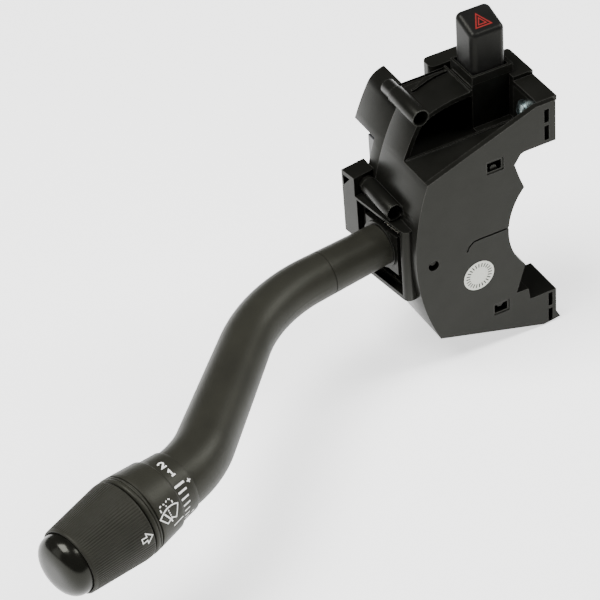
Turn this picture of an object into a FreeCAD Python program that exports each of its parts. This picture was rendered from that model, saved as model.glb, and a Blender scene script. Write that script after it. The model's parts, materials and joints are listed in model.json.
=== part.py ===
import FreeCAD, Part
import math
import os
from FreeCAD import Vector

# Combination stalk switch for a steering column, in millimetres.
# The origin is the steering column's axis in the plane of the front plate's face.
# +X runs from the lever to the column, +Y runs away from the driver, +Z is up.

# Walls and running fits
WALL = 2.0                  # moulded housing walls
PLATE = 2.3                 # front plate
RUN_FIT = 0.05              # radial clearance of a pin in its bearing
SLIDE_FIT = 0.3             # gap beside a sliding or swinging piece
SEAT = 0.3                  # gap where a moving piece comes to rest near its seat

# Front plate and housing
COLUMN_R = 27.5             # radius of the cut-out that clears the column
COLUMN_HALF = 18.3          # half height of that cut-out
FLANK_LEFT = -67.0          # leftmost point of the flank
FLANK_R = 95.0              # big radius of the left flank
FLANK_X = FLANK_LEFT + FLANK_R
FLANK_Z = 2.0
PLATE_TOP = 52.2
PLATE_RIGHT = -6.9
FIN_RIGHT = -15.2           # where the diagonal top edge of the plate starts
SHELF_Z = 35.7              # top of the lower housing
LOWER_LEFT_Z = -38.1        # lower corner of the flank
LOWER_RIGHT = (-12.4, -52.1)
LOWER_CORNER = (-5.0, -51.2)
LOWER_END_Z = -47.5         # where the right edge starts above the lower corner
RIGHT_STEP_Z = 34.4         # underside of the upper right block
LOWER_STEP_Z = -36.5        # top of the lower right block
LOWER_STEP = ((-18.5, -36.5), (-19.3, -31.1), (-24.6, -30.8))
UPPER_STEP = ((-22.5, 23.5), (-24.5, 30.0), (-21.9, 33.8))
STEP_END_X = -20.3          # where the last step meets the right block's underside
BLOCK_DEPTH = 18.3          # depth of the blocks right of the column cut-out
HOUSING_DEPTH = 32.0        # seam between housing and rear cover
RIM_Y = 17.7                # rear edge of the shelf
RIM_DROP = 1.3              # the floor behind the shelf lies lower
RIM_RISE = 0.35             # raised edge along the back of the shelf
RIM_WIDTH = 0.9
BLOCK_LEFT = -13.4          # left wall of the upper right block
LID_Z = 50.2                # underside of the upper housing's lid

# Screw tubes, both along Y
TUBE_OD = 6.8
TUBE_END_OD = 6.0
TUBE_BORE = 4.5
UPPER_TUBE_Z = 53.6
UPPER_TUBE_OUT = 0.492      # the tube's axis stands this far out of the flank below it
TUBE_SINK = 0.6             # the flank's wall reaches this far into the tube
UPPER_TUBE_Y = (15.3, 39.2)
LOWER_TUBE = (-68.3, 19.0)
LOWER_TUBE_Y = (12.0, 37.5)
TUBE_END_LENGTH = 6.0
TUBE_MOUTH_D = 6.0          # wider mouth at each tube's front end
TUBE_MOUTH = 6.0
TUBE_WEB = 2.0              # web under the lower tube

# Rear cover
COVER_DEPTH = 6.0
COVER_TOP = 34.5
WING_REAR = 53.0
WING_BEND_Z = 47.0          # above this the wing curls in over the roof
WING_WALL = 2.6
CLIP_WIDTH = 2.6
CLIP_THICK = 2.0
CLIP_END_Y = 1.2            # the clips' noses stand a little inside the windows

# Upper housing
WING_CURL = ((3.3, 3.8), (7.7, 5.4))    # middle and tip of the wing's curl, from its bend, as (X, Z)
ROOF_IN = 4.9               # the roof starts this far right of the wing's bend
ROOF_FRONT = 17.0
ROOF_CURVE = 1.1            # the roof's front edge is hollow by this much
ROOF_RIM = 0.8              # raised rim along the roof's right edge
ROOF_RIM_RISE = 0.5
LIP_RISE = 1.0              # raised lip in front of the roof's sunk strip
LIP = ((-48.0, 32.2), (-45.9, 32.6), (-42.6, 33.9), (-38.5, 35.3), (-34.5, 36.0), (-30.6, 36.3),
       (-30.6, 36.9), (-34.5, 37.0), (-39.0, 37.1), (-42.5, 35.9), (-45.9, 33.6), (-48.0, 33.0))
STRIP_Y = (37.3, 39.8)      # sunk strip behind the lip
STRIP_DEPTH = 0.9
COLLAR_X = (-29.2, -11.9)
COLLAR_Y = (20.8, 36.2)
COLLAR_TOP = 58.2
COLLAR_LIP = 3.4            # the collar's top stands out over its body
COLLAR_INSET = 0.25
CORNER_R = 1.5              # rounded corners of the hazard box and the rear bar
HAZARD_TOP = 53.9
HAZARD_RIGHT = -5.0
HAZARD_REAR = 35.3
HAZARD_FLOOR = 36.5         # floor inside the hazard box
REAR_BAR_R = 2.5            # rounded left end of the rear bar
REAR_BAR_Y = (40.0, 47.0)
REAR_BAR_X = (-35.5, -8.0)
REAR_BAR_TOP = 54.0
LID_FRONT = 2.3

# Lever opening, in a plane yawed with the lever
YAW = 8.0
BOOT = (-72.0, 20.0)        # where the lever's axis crosses the frame's face
FRAME_T = (-13.0, 17.0)     # frame's ends along the plane, rear to front
FRAME_Z = (-17.4, 15.1)
OPEN_T = (-11.0, 13.3)
OPEN_Z = (-13.9, 13.1)
REAR_BLOCK_T = (-20.6, -13.0)
REAR_BLOCK_Z = (-5.0, 23.4)
REAR_STEP_T = (-24.0, -15.0)
REAR_STEP_N = (-12.0, -5.0)
REAR_STEP_Z = (8.0, 20.5)
CORNER_WINDOW = ((-19.9, 21.6), (-15.6, 21.6), (-19.5, 17.0))
CORNER_WINDOW_DEPTH = 5.0
FRAME_RECESS = 3.0          # the frame's inner bars lie this deep
FRAME_LIP_T = (-12.0, 14.1)
FRAME_LIP_Z = (-15.6, 14.2)
FRAME_ROUND = 2.6           # rounded front bar

# Lever
LEVER_START_D = 16.2
LEVER_END_D = 21.9
KNOB_YAW = 18.7             # yaw of the knob's axis
BEND_1 = (-124.95, 12.56)   # where the first and middle leg would meet
REACH_OUT = 181.1           # how far left the middle leg and the knob's axis would meet
REACH_NEAR = 49.2           # and how far towards the driver
BEND_2 = (-REACH_OUT, -REACH_NEAR)
LEVER_RUN = 0.2             # straight run from the second bend to the barrel
BEND_R1 = 62.0
BEND_R2 = 40.0
ARM_SEAM = 25.0             # a fine seam runs round the lever this far out
ARM_SEAM_DEPTH = 0.2
ARM_SEAM_WIDTH = 0.4

# Barrel and knob, sizes along the knob's axis from the knob's large end
KNOB_LENGTH = 25.0
KNOB_D1 = 30.0
KNOB_D2 = 24.8
KNOB_EDGE = 2.4             # smooth edge at the knob's large end
KNOB_SHAFT_D = 9.0
KNOB_SHAFT_WALL = 1.5
BARREL_FRONT = 0.5          # gap between the knob and the barrel's front ring
BARREL_RING = 1.5
BARREL_LINE = 0.3           # fine groove
BARREL_BAND = 0.7           # narrow second ring
BARREL_GROOVE = 0.7
BARREL_TAPER = 10.8
BARREL_NECK = 8.7
BARREL_D1 = 29.6
BARREL_D2 = 26.8
NECK_D = 24.0
CAP_D = 22.8
CAP_HEIGHT = 7.0
CAP_RIM = 0.8               # straight part of the cap outside the knob
CAP_SKIRT = 3.0             # the cap's skirt inside the knob
CAP_TRAVEL = 3.0
CAP_WELL = 3.0              # room left under the pressed cap
STEM_START = 8.0            # the cap's stem begins this far from the knob's large end

# Pivots inside the housing
TURN_X = -44.0              # the carrier swings about Y here
TURN_PIN_D = 5.0
TURN_SWING = 8.0
BEAM_X = -56.0              # the lever swings about Z here
BEAM_PIN_D = 3.0
BEAM_SWING = 8.0
TONGUE_WIDTH = 9.0
TONGUE_HEIGHT = 9.0
YOKE_WALL = 3.0
HUB_D = 12.0

SPRING_RUNS = 14            # straight runs in one turn of a spring
PAWL_X = -34.5
PAWL_PIN_D = 3.0
PAWL_HUB_D = 6.0
PAWL_Y = (7.0, 13.0)
PAWL_REACH = 10.0
PAWL_SWING = 14.0
PAWL_SLOT = 5.4             # half the height of the pawl's slot
PAWL_CLEAR = 0.6
BOARD_Z = 24.0              # underside of the contact board
BOARD_THICK = 1.6
DETENT_Y = 17.0
DETENT_D = 5.0
DETENT_WALL = 2.0           # wall of the leg round the plunger
DETENT_LEG = 19.0           # the leg's end, from the turn pivot
DETENT_SEAT = 7.5           # the spring's seat, from the turn pivot
DETENT_SPRING = 5.0         # the spring's length at rest
PLUNGER_TIP = 22.0          # the plunger's tip, from the turn pivot
DETENT_TRAVEL = 1.5
TRACK_HALF = 10.0           # half the track's width across the lever
TRACK_TOP = 15.0            # the track's top, from the turn pivot
TRACK_HALF_Y = 4.5
NOTCH_D = 5.8
NOTCH_IN = 0.9              # notch centres, as a share of the track's radius
SHIELD_T = (-9.0, 9.8)      # shield plate on the lever, inside the frame
SHIELD_Z = (-9.3, 8.6)
SHIELD_RECESS = 1.5
SHIELD_THICK = 2.0
SHIELD_RING = 1.3           # wall of the ring round the lever
SHIELD_LIFT = 0.9           # the ring stands proud of the plate

# Hazard button
BUTTON_X = -20.9
BUTTON_Y = 28.7
BUTTON_W = 14.2
BUTTON_L = 13.2
BUTTON_TOP = 74.7           # at the front edge
BUTTON_RISE = 4.6           # the rear edge of the top is higher
BUTTON_CORNER_R = 2.5
BUTTON_EDGE_R = 2.2
BUTTON_TRAVEL = 4.5
BUTTON_PLUG = 6.0           # what stays in the collar when it is pressed
BUTTON_STEM_D = 3.0

# Windows, slots and the groove in the front plate, each as (X, Z)
WINDOWS = (
    ((-35.9, -30.0), (31.0, 35.0)),
    ((-34.2, -28.6), (-36.8, -33.0)),
)
WINDOW_MARGIN = 0.9         # shallow recess round each window
WINDOW_RECESS = 0.4
SLOTS = (
    ((-11.7, -9.7), (35.9, 42.3)),
    ((-11.7, -9.7), (43.7, 49.5)),
    ((-10.4, -8.5), (-43.8, -37.4)),
    ((-10.4, -8.5), (-51.6, -45.2)),
)
SLOT_DEPTH = 6.0
GROOVE = ((-26.0, 2.1), (-33.7, 2.2), (-39.0, 2.3), (-42.6, 2.1), (-44.6, 0.4), (-45.6, -1.7))
GROOVE_WIDTH = 0.9
GROOVE_DEPTH = 0.5
ACCESS_HOLE = (-59.8, -1.8)
ACCESS_D = 4.5
ACCESS_FLOOR = 1.2          # the hole's floor lies this far behind the plate

# Cable sockets on the rear cover: X, front face, Z and terminals in a row
SOCKET_WALL = 1.5
SOCKET_DEPTH = 12.0
TERMINAL_ROW = 3.0
TERMINAL_WIDTH = 1.4
TERMINAL_THICK = 0.6
TERMINAL_SHORT = 2.5        # the terminals end this far inside the socket's mouth
BACK = HOUSING_DEPTH + COVER_DEPTH
TURN_SOCKET = ((-58.0, -30.5), BACK, (14.0, 27.0), 6)
WIPER_SOCKET = ((-58.0, -34.5), BACK, (-24.0, -11.0), 5)

# Retaining screw in the right block, driven from the left
SCREW_YZ = (10.0, 44.5)
SCREW_WASHER = 1.0
SCREW_D = 3.0
SCREW_LENGTH = 9.0
SCREW_HEAD = 2.4            # head height
SCREW_DOME = 3.8            # radius of the head's crown
SCREW_CROSS = (3.2, 0.8, 1.1)   # cross recess: length, width and depth
WASHER_D = 8.0


def flank_x(z, inset=0.0):
    """X of the left flank at a height, inset into the wall."""
    r = FLANK_R - inset
    return FLANK_X - math.sqrt(r * r - (z - FLANK_Z) ** 2)


ROOF_LEFT = flank_x(WING_BEND_Z) + ROOF_IN
UPPER_TUBE = (flank_x(UPPER_TUBE_Z - TUBE_OD / 2 + TUBE_SINK) - UPPER_TUBE_OUT, UPPER_TUBE_Z)


def column_x(z, inset=0.0):
    """X of the column cut-out at a height, set back into the wall."""
    r = COLUMN_R + inset
    return -math.sqrt(r * r - z * z)


def box(x, y, z):
    """Box between two values on each axis."""
    corner = Vector(min(x), min(y), min(z))
    return Part.makeBox(abs(x[1] - x[0]), abs(y[1] - y[0]), abs(z[1] - z[0]), corner)


def rod(start, end, diameter):
    """Cylinder from one point to another."""
    start, end = Vector(*start), Vector(*end)
    axis = end - start
    return Part.makeCylinder(diameter / 2, axis.Length, start, axis)


def line(a, b, y):
    return Part.LineSegment(Vector(a[0], y, a[1]), Vector(b[0], y, b[1])).toShape()


def arc(a, mid, b, y):
    points = [Vector(p[0], y, p[1]) for p in (a, mid, b)]
    return Part.Arc(*points).toShape()


def prism(path, y0, y1):
    """Closed outline in X and Z, pushed along Y. A point with three items is an arc's middle."""
    edges = []
    count = len(path)
    i = 0
    while i < count:
        a = path[i]
        b = path[(i + 1) % count]
        if len(b) == 3:
            c = path[(i + 2) % count]
            edges.append(arc(a, b, c, y0))
            i += 2
        else:
            edges.append(line(a, b, y0))
            i += 1
    face = Part.Face(Part.Wire(edges))
    return face.extrude(Vector(0, y1 - y0, 0))


def fuse(shapes):
    whole = shapes[0].fuse(shapes[1:])
    return whole.removeSplitter()


def boot_frame_point(t, n, z):
    """Point in the lever opening's own axes: t along the plane, n out of it."""
    c, s = math.cos(math.radians(YAW)), math.sin(math.radians(YAW))
    return Vector(BOOT[0] + t * s - n * c, BOOT[1] - t * c - n * s, z)


def yawed_box(t, n, z):
    """Box in the lever opening's own axes."""
    solid = box((-n[1], -n[0]), (-t[1], -t[0]), z)
    solid.rotate(Vector(0, 0, 0), Vector(0, 0, 1), YAW)
    solid.translate(Vector(BOOT[0], BOOT[1], 0))
    return solid


def knob_axis():
    a = math.radians(KNOB_YAW)
    return Vector(-math.cos(a), -math.sin(a), 0)


def yaw_direction(yaw):
    a = math.radians(yaw)
    return Vector(-math.cos(a), -math.sin(a), 0)


# The lever's path, from the boot out to the barrel
def lever_path():
    start = boot_frame_point(0, -SHIELD_RECESS, 0)
    corner1 = Vector(BEND_1[0], BEND_1[1], 0)
    corner2 = Vector(BEND_2[0], BEND_2[1], 0)
    d1 = (corner1 - start).normalize()
    d2 = (corner2 - corner1).normalize()
    d3 = knob_axis()
    edges = []
    here = start
    for corner, before, after, radius in ((corner1, d1, d2, BEND_R1), (corner2, d2, d3, BEND_R2)):
        half = before.getAngle(after) / 2
        back = radius * math.tan(half)
        a = corner - before * back
        b = corner + after * back
        inward = (after - before).normalize()
        mid = corner + inward * (radius / math.cos(half) - radius)
        edges.append(Part.LineSegment(here, a).toShape())
        edges.append(Part.Arc(a, mid, b).toShape())
        here = b
    end = here + d3 * LEVER_RUN
    edges.append(Part.LineSegment(here, end).toShape())
    return edges, end


LEVER_EDGES, LEVER_END = lever_path()
BARREL_RINGS = BARREL_FRONT + BARREL_RING + BARREL_LINE + BARREL_BAND + BARREL_GROOVE
BARREL_BACK = BARREL_RINGS + BARREL_TAPER + BARREL_NECK
KNOB_BASE = LEVER_END + knob_axis() * BARREL_BACK     # centre of the knob's large end


def turned(profile):
    """Solid of revolution on the knob's axis. The profile gives (along, radius) pairs."""
    points = [Vector(a, r, 0) for a, r in profile]
    wire = Part.makePolygon(points + [points[0]])
    solid = Part.Face(wire).revolve(Vector(0, 0, 0), Vector(1, 0, 0), 360)
    return on_knob_axis(solid)


def on_knob_axis(solid):
    """Move a solid built along +X to the knob's axis, tip outwards."""
    solid.rotate(Vector(0, 0, 0), Vector(0, 0, 1), 180 + KNOB_YAW)
    solid.translate(KNOB_BASE)
    return solid


def plate_outline(top):
    """Outline of the front plate below a height; the top corner on the flank comes first."""
    mid_z = (top + LOWER_LEFT_Z) / 2
    path = [
        (flank_x(top), top),
        (flank_x(mid_z), mid_z, "arc"),
        (flank_x(LOWER_LEFT_Z), LOWER_LEFT_Z),
        LOWER_RIGHT,
        LOWER_CORNER,
        (PLATE_RIGHT, LOWER_END_Z),
        (PLATE_RIGHT, LOWER_STEP_Z),
        *LOWER_STEP,
        (column_x(COLUMN_HALF), -COLUMN_HALF),
        (column_x(0), 0, "arc"),
        (column_x(COLUMN_HALF), COLUMN_HALF),
        *UPPER_STEP,
        (STEP_END_X, RIGHT_STEP_Z),
        (PLATE_RIGHT, RIGHT_STEP_Z),
        (PLATE_RIGHT, top),
    ]
    return path


def cavity_outline():
    """Room for the carrier: the flank, shelf, bottom and column walls set in by the wall."""
    top = SHELF_Z - WALL
    corner = (flank_x(LOWER_LEFT_Z), LOWER_LEFT_Z)
    slope = (LOWER_RIGHT[1] - corner[1]) / (LOWER_RIGHT[0] - corner[0])
    lift = WALL * math.sqrt(1 + slope * slope)
    right = column_x(COLUMN_HALF, WALL) - 3.5
    left_z = LOWER_LEFT_Z + WALL
    mid_z = (top + left_z) / 2
    return [
        (flank_x(top, WALL), top),
        (flank_x(mid_z, WALL), mid_z, "arc"),
        (flank_x(left_z, WALL), left_z),
        (right, corner[1] + slope * (right - corner[0]) + lift),
        (right, -math.sqrt((COLUMN_R + WALL) ** 2 - right ** 2)),
        (-(COLUMN_R + WALL), 0, "arc"),
        (right, math.sqrt((COLUMN_R + WALL) ** 2 - right ** 2)),
        (right, top),
    ]


def screw_tube(centre, span):
    """Round tube for a mounting screw, thinner at its rear end."""
    x, z = centre
    body = rod((x, span[0], z), (x, span[1] - TUBE_END_LENGTH, z), TUBE_OD)
    end = rod((x, span[1] - TUBE_END_LENGTH, z), (x, span[1], z), TUBE_END_OD)
    return body.fuse(end)


def screw_way(centre, span):
    """Free way for the screw behind its tube."""
    x, z = centre
    return rod((x, span[1] - 1, z), (x, span[1] + 30, z), TUBE_END_OD)


def screw_bore(centre, span):
    """Bore of a screw tube, with a wider mouth at its front end."""
    x, z = centre
    bore = rod((x, span[0] - 1, z), (x, span[1] + 1, z), TUBE_BORE)
    return bore.fuse(rod((x, span[0] - 1, z), (x, span[0] + TUBE_MOUTH, z), TUBE_MOUTH_D))


def front_housing():
    """Front plate with the moulded box behind it, the fin, the right block and the tubes."""
    lower = prism(plate_outline(SHELF_Z), 0, HOUSING_DEPTH)
    right_of = column_x(COLUMN_HALF, WALL) - 1.5
    beyond = (BLOCK_DEPTH, HOUSING_DEPTH + 1)
    lower = lower.cut(box((right_of, 0), beyond, (COLUMN_HALF, SHELF_Z + 1)))
    lower = lower.cut(box((right_of, 0), beyond, (-60, -COLUMN_HALF)))
    lower = lower.cut(box((flank_x(SHELF_Z, WALL), 0), (RIM_Y, HOUSING_DEPTH + 1),
                          (SHELF_Z - RIM_DROP, SHELF_Z + 1)))
    lower = lower.cut(prism(cavity_outline(), PLATE, HOUSING_DEPTH + 1))
    fin = prism([
        (flank_x(SHELF_Z), SHELF_Z - 0.5),
        (flank_x(SHELF_Z), SHELF_Z),
        (FIN_RIGHT, PLATE_TOP),
        (PLATE_RIGHT, PLATE_TOP),
        (PLATE_RIGHT, SHELF_Z - 0.5),
    ], 0, PLATE)
    rim = box((flank_x(SHELF_Z, WALL / 2), BLOCK_LEFT), (RIM_Y - RIM_WIDTH, RIM_Y),
              (SHELF_Z - RIM_DROP, SHELF_Z + RIM_RISE))
    block = box((BLOCK_LEFT, PLATE_RIGHT), (PLATE, BLOCK_DEPTH), (SHELF_Z - 0.5, LID_Z))
    flank = upper_flank(RIM_Y - 0.2, HOUSING_DEPTH)
    upper_tube = screw_tube(UPPER_TUBE, UPPER_TUBE_Y)
    lower_tube = screw_tube(LOWER_TUBE, LOWER_TUBE_Y)
    keep_out = prism(cavity_outline(), PLATE, HOUSING_DEPTH + 20)
    lower_tube = lower_tube.cut(keep_out)
    web_x = LOWER_TUBE[0] - TUBE_WEB
    web = box((web_x, web_x + TUBE_WEB), (LOWER_TUBE_Y[0] + 1, LOWER_TUBE_Y[1] - TUBE_END_LENGTH),
              (FRAME_Z[1], LOWER_TUBE[1]))
    whole = fuse([lower, rim, fin, block, flank, upper_tube, lower_tube, web])
    whole = whole.cut(screw_bore(UPPER_TUBE, UPPER_TUBE_Y))
    whole = whole.cut(screw_bore(LOWER_TUBE, LOWER_TUBE_Y))
    whole = whole.cut(lever_opening())
    bosses = [
        rod((TURN_X, PLATE, 0), (TURN_X, PLATE + 3.0, 0), TURN_PIN_D + 4),
        rod((PAWL_X, PLATE, 0), (PAWL_X, PAWL_Y[0] - SEAT, 0), PAWL_PIN_D + 3),
        rod((ACCESS_HOLE[0], PLATE, ACCESS_HOLE[1]),
            (ACCESS_HOLE[0], PLATE + ACCESS_FLOOR + 1.0, ACCESS_HOLE[1]), ACCESS_D + 3),
    ]
    whole = fuse([whole] + bosses)
    y, z = SCREW_YZ
    pins = [
        rod((TURN_X, PLATE, 0), (TURN_X, 20, 0), TURN_PIN_D),
        rod((PAWL_X, PLATE, 0), (PAWL_X, 20, 0), PAWL_PIN_D),
        rod((BLOCK_LEFT - SCREW_WASHER, y, z), (BLOCK_LEFT + SCREW_LENGTH, y, z), SCREW_D),
        pawl_slot(),
    ]
    for hole in plate_holes() + pins:
        whole = whole.cut(hole)
    return whole


def upper_flank(y0, y1):
    """The left flank's wall above the shelf, up to the upper tube."""
    top = UPPER_TUBE[1] - TUBE_OD / 2 + TUBE_SINK
    low = SHELF_Z - RIM_DROP - 0.5
    mid = (top + low) / 2
    return prism([
        (flank_x(low), low),
        (flank_x(mid), mid, "arc"),
        (flank_x(top), top),
        (flank_x(top, WALL), top),
        (flank_x(mid, WALL), mid, "arc"),
        (flank_x(low, WALL), low),
    ], y0, y1)


def lever_opening():
    """Hole through the flank behind the lever's frame."""
    return yawed_box(OPEN_T, (-14, 20), OPEN_Z)


def plate_holes():
    """Clip windows, slots and the round access hole in the front plate."""
    holes = [box(x, (-1, PLATE + 4), z) for x, z in WINDOWS]
    for x, z in WINDOWS:
        holes.append(box((x[0] - WINDOW_MARGIN / 2, x[1] + WINDOW_MARGIN), (-1, WINDOW_RECESS),
                         (z[0] - WINDOW_MARGIN, z[1] + WINDOW_MARGIN)))
    holes.append(plate_groove())
    holes += [box(x, (-1, SLOT_DEPTH), z) for x, z in SLOTS]
    x, z = ACCESS_HOLE
    holes.append(rod((x, -1, z), (x, PLATE + ACCESS_FLOOR, z), ACCESS_D))
    return holes


def plate_groove():
    """Shallow curved groove across the plate, from the column cut-out."""
    half = GROOVE_WIDTH / 2
    upper, lower = [], []
    for i, (x, z) in enumerate(GROOVE):
        before = GROOVE[max(i - 1, 0)]
        after = GROOVE[min(i + 1, len(GROOVE) - 1)]
        dx, dz = after[0] - before[0], after[1] - before[1]
        size = math.hypot(dx, dz)
        upper.append((x + dz / size * half, z - dx / size * half))
        lower.append((x - dz / size * half, z + dx / size * half))
    return prism(upper + lower[::-1], -1, GROOVE_DEPTH)


def clip(x, z, low):
    """Snap clip with a half-round nose behind a window."""
    mid = (x[0] + x[1]) / 2
    r = CLIP_WIDTH / 2
    edge, side = (z[0], 1) if low else (z[1], -1)
    span = (CLIP_END_Y, HOUSING_DEPTH + 1)
    foot = box((mid - r, mid + r), span, (edge, edge + side * (CLIP_THICK - r)))
    centre = edge + side * (CLIP_THICK - r)
    nose = rod((mid, span[0], centre), (mid, span[1], centre), CLIP_WIDTH)
    return foot.fuse(nose.common(box((mid - r, mid + r), span, (edge, edge + side * CLIP_THICK))))


def rear_cover():
    """Closes the housing's back; its clips reach the windows and its wing follows the flank."""
    path = plate_outline(COVER_TOP)
    back = prism(path, HOUSING_DEPTH, HOUSING_DEPTH + COVER_DEPTH)
    right_of = column_x(COLUMN_HALF, WALL) - 1.5
    span = (HOUSING_DEPTH - 1, HOUSING_DEPTH + COVER_DEPTH + 1)
    back = back.cut(box((right_of, 0), span, (COLUMN_HALF, 60)))
    back = back.cut(box((right_of, 0), span, (-60, -COLUMN_HALF)))
    low = COVER_TOP - 0.5
    mid = (WING_BEND_Z + low) / 2
    out = flank_x(WING_BEND_Z)
    (mid_x, mid_z), (tip_x, tip_z) = WING_CURL
    slant = WING_WALL * math.sqrt(0.5)
    wing = prism([
        (flank_x(low), low),
        (flank_x(mid), mid, "arc"),
        (out, WING_BEND_Z),
        (out + mid_x, WING_BEND_Z + mid_z, "arc"),
        (out + tip_x, WING_BEND_Z + tip_z),
        (out + tip_x, WING_BEND_Z + tip_z - WING_WALL),
        (out + mid_x + slant, WING_BEND_Z + mid_z - slant, "arc"),
        (out + WING_WALL, WING_BEND_Z - 1.0),
        (flank_x(mid, WING_WALL), mid, "arc"),
        (flank_x(low, WING_WALL), low),
    ], HOUSING_DEPTH, WING_REAR)
    wing = wing.cut(box((ROOF_LEFT, ROOF_LEFT + 20), (HOUSING_DEPTH - 1, REAR_BAR_Y[0] + SEAT),
                        (COVER_TOP, WING_BEND_Z + tip_z + 1)))
    boss = rod((TURN_X, HOUSING_DEPTH - 3.0, 0), (TURN_X, HOUSING_DEPTH + 1, 0), TURN_PIN_D + 4)
    clips = [clip(*WINDOWS[0], True), clip(*WINDOWS[1], False)]
    whole = fuse([back, wing, boss] + clips)
    tubes = screw_tube(UPPER_TUBE, UPPER_TUBE_Y).fuse(screw_tube(LOWER_TUBE, LOWER_TUBE_Y))
    whole = whole.cut(tubes)
    whole = whole.cut(screw_way(UPPER_TUBE, UPPER_TUBE_Y)).cut(screw_way(LOWER_TUBE, LOWER_TUBE_Y))
    pin = rod((TURN_X, 0, 0), (TURN_X, HOUSING_DEPTH, 0), TURN_PIN_D)
    return whole.cut(pin).cut(lever_opening_rear())


def lever_opening_rear():
    """Keeps the cover's flank clear of the lever's frame."""
    return yawed_box((OPEN_T[0], OPEN_T[1]), (-6, 20), OPEN_Z)


def upper_housing():
    """Roof over the front pocket, hazard collar, hazard box, rear bar and lid."""
    roof_z = (PLATE_TOP - WALL, PLATE_TOP)
    whole = fuse([roof_plate(roof_z), collar(), hazard_box(), rear_bar(), lid(), pocket_wall()])
    x, y = button_span(BUTTON_X, BUTTON_W, SLIDE_FIT), button_span(BUTTON_Y, BUTTON_L, SLIDE_FIT)
    whole = whole.cut(box(x, y, (HAZARD_FLOOR, COLLAR_TOP + 1)))
    strip = box((ROOF_LEFT - 1, COLLAR_X[0] - ROOF_RIM), STRIP_Y, (PLATE_TOP - STRIP_DEPTH, PLATE_TOP + 1))
    return whole.cut(strip)


def roof_plate(z):
    """Roof over the front pocket, with a hollow front edge, a raised rim and a curved lip."""
    left, right = ROOF_LEFT, COLLAR_X[0]
    front = COLLAR_Y[0] + 0.3
    mid = ((left + right) / 2, (ROOF_FRONT + front) / 2 + ROOF_CURVE)
    points = [Vector(x, y, z[0]) for x, y in
              ((left, ROOF_FRONT), mid, (right, front), (right, REAR_BAR_Y[0]), (left, REAR_BAR_Y[0]))]
    edges = [Part.Arc(points[0], points[1], points[2]).toShape(), Part.makeLine(points[2], points[3]),
             Part.makeLine(points[3], points[4]), Part.makeLine(points[4], points[0])]
    plate = Part.Face(Part.Wire(edges)).extrude(Vector(0, 0, z[1] - z[0]))
    rim = box((right - ROOF_RIM, right), (front, REAR_BAR_Y[0]), (z[0], z[1] + ROOF_RIM_RISE))
    lip = flat_plate(LIP, (z[0] + WALL / 2, z[1] + LIP_RISE))
    return fuse([plate, rim, lip])


def collar():
    """Square collar round the hazard button, with a lip round its top."""
    low = COLLAR_TOP - COLLAR_LIP
    lip = box(COLLAR_X, COLLAR_Y, (low, COLLAR_TOP))
    body = box((COLLAR_X[0] + COLLAR_INSET, COLLAR_X[1] - COLLAR_INSET),
               (COLLAR_Y[0] + COLLAR_INSET, COLLAR_Y[1]), (PLATE_TOP - WALL, low))
    return lip.fuse(body)


def rounded_box(x, y, z, edges, radius):
    """Box with its upright edges rounded at the given (X, Y) corners."""
    solid = box(x, y, z)
    picked = []
    for edge in solid.Edges:
        a, b = edge.Vertexes[0].Point, edge.Vertexes[1].Point
        if abs(a.z - b.z) > 0.1 and any(math.hypot(a.x - cx, a.y - cy) < 0.01 for cx, cy in edges):
            picked.append(edge)
    return solid.makeFillet(radius, picked)


def hazard_box():
    """Box under the collar that guides the hazard button."""
    box_x = (COLLAR_X[0], HAZARD_RIGHT)
    block = rounded_box(box_x, (BLOCK_DEPTH, HAZARD_REAR), (COVER_TOP, HAZARD_TOP),
                        [(HAZARD_RIGHT, HAZARD_REAR)], CORNER_R)
    link = box((COLLAR_X[0] + 2, HAZARD_RIGHT - 3), (HAZARD_REAR - 2, REAR_BAR_Y[0] + 1),
               (COVER_TOP, PLATE_TOP))
    front = box((box_x[0] - 1, BLOCK_LEFT), (BLOCK_DEPTH - 1, COLLAR_Y[0] + COLLAR_INSET),
                (SHELF_Z, COLLAR_TOP - COLLAR_LIP))
    return block.fuse(link).cut(front)


def pocket_wall():
    """Wall behind the front pocket, from the cover's top up to the roof."""
    high = WING_BEND_Z - 2
    mid = (COVER_TOP + high) / 2
    gap = WING_WALL + SLIDE_FIT
    right = COLLAR_X[0] + 2.5
    return prism([
        (flank_x(COVER_TOP, gap), COVER_TOP),
        (flank_x(mid, gap), mid, "arc"),
        (flank_x(high, gap), high),
        (ROOF_LEFT, WING_BEND_Z + 1.2),
        (ROOF_LEFT, PLATE_TOP - WALL / 2),
        (right, PLATE_TOP - WALL / 2),
        (right, COVER_TOP),
    ], BACK - WALL, BACK)


def rear_bar():
    """Raised bar along the rear edge, rounded at its left end."""
    left, right = REAR_BAR_X
    bar = rounded_box(REAR_BAR_X, REAR_BAR_Y, (COVER_TOP, REAR_BAR_TOP),
                      [(left, REAR_BAR_Y[0]), (left, REAR_BAR_Y[1])], REAR_BAR_R)
    return bar


def lid():
    """Thin lid over the upper right block."""
    return box((BLOCK_LEFT, HAZARD_RIGHT), (LID_FRONT, BLOCK_DEPTH), (LID_Z, PLATE_TOP))


def flat_plate(corners, z):
    """Plate with straight edges in X and Y, between two heights."""
    points = [Vector(x, y, z[0]) for x, y in corners]
    face = Part.Face(Part.makePolygon(points + [points[0]]))
    return face.extrude(Vector(0, 0, z[1] - z[0]))


def button_span(centre, width, gap):
    """Two sides of a slot round the hazard button."""
    return (centre - width / 2 - gap, centre + width / 2 + gap)


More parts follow.
